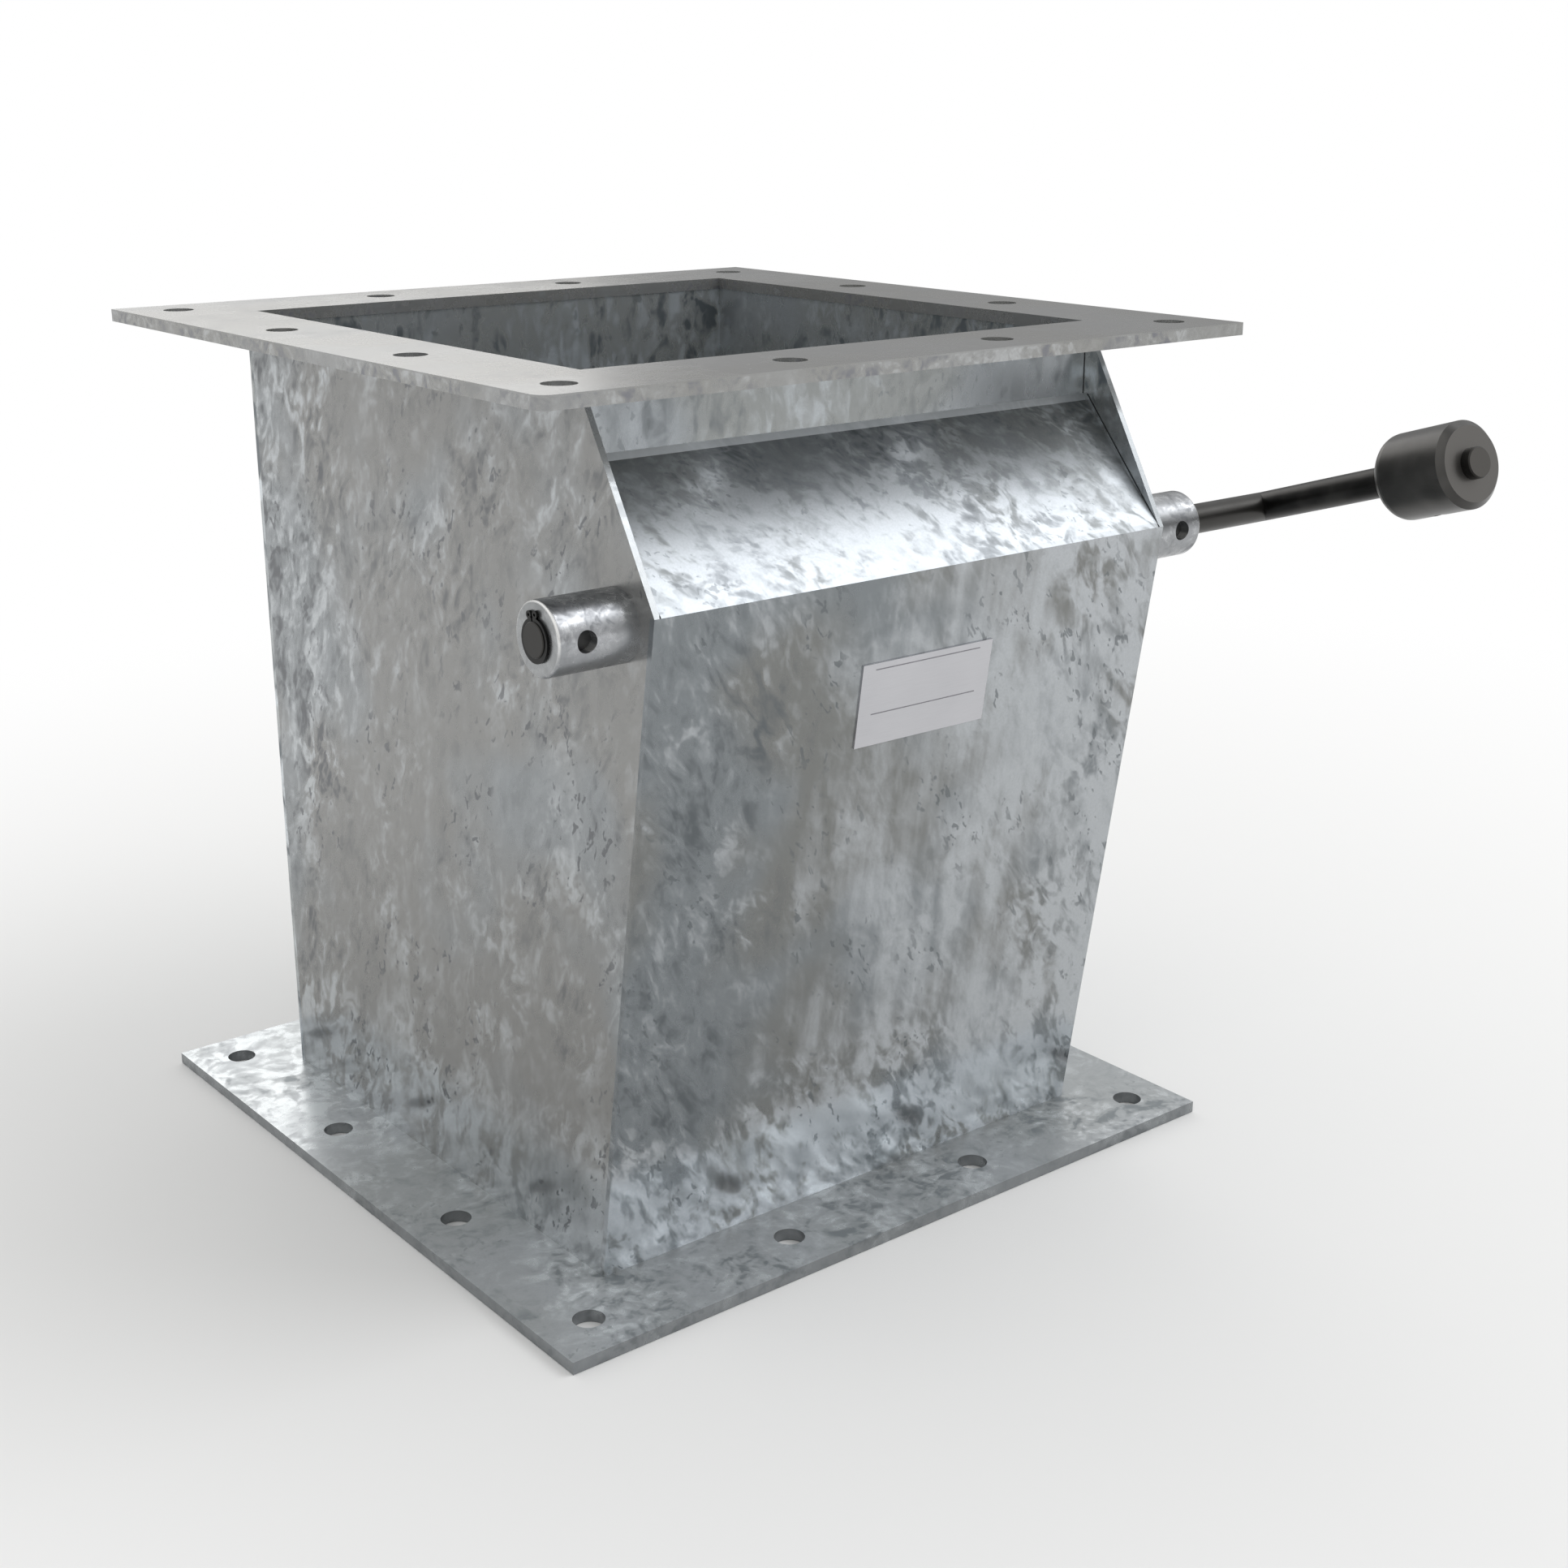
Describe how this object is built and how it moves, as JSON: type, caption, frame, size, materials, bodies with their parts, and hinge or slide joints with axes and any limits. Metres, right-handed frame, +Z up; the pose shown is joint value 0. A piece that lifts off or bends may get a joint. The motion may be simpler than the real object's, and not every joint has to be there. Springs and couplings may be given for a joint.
{
  "type": "ducting dump valve",
  "caption": "Square galvanised duct section with drilled flanges, a front shaft pocket and an inclined flap held shut by a counterweight on an outside lever.",
  "frame": {"origin": "centre of the bottom flange's underside, where its bolt pattern is centred", "axes": "+Z up along the duct, -Y towards the shaft pocket and its sloping front plate, +X towards the lever"},
  "size_m": [0.4664, 0.5128, 0.42],
  "materials": {
    "galvanised": "hot-dip galvanised, cloudy",
    "black_steel": "chemically blackened, oiled satin",
    "aluminium_sheet": "mill finish",
    "acetal": "turned black acetal",
    "felt": "pressed wool felt",
    "gasket_rubber": "sponge rubber strip"
  },
  "bodies": {
    "valve_body": {"top_flange": "galvanised", "bottom_flange": "galvanised", "left_side_plate": "galvanised", "right_side_plate": "galvanised", "back_plate": "galvanised", "front_plate": "galvanised", "hood_plate": "galvanised", "inlet_front_wall": "galvanised", "left_boss": "galvanised", "right_boss": "galvanised", "left_bush": "acetal", "right_bush": "acetal", "left_shaft_seal": "felt", "right_shaft_seal": "felt", "seat_front_bar": "galvanised", "seat_back_bar": "galvanised", "seat_left_bar": "galvanised", "seat_right_bar": "galvanised", "seat_gasket": "gasket_rubber", "stop_lugs": "galvanised", "name_plate": "aluminium_sheet"},
    "flap_assembly": {"pivot_shaft": "black_steel", "retaining_ring": "black_steel", "lever_rod": "black_steel", "counterweight": "black_steel", "counterweight_screw": "black_steel", "flap_blade": "aluminium_sheet", "left_flap_hub": "galvanised", "right_flap_hub": "galvanised", "hub_pins": "black_steel", "flap_screws": "galvanised", "flap_washers": "galvanised", "flap_nuts": "galvanised"}
  },
  "joints": [
    {"name": "flap_hinge", "type": "hinge", "parent": "valve_body", "child": "flap_assembly", "pos_m": [0, -0.1745, 0.32], "axis": [-1, 0, 0], "range_deg": [0, 45]}
  ]
}
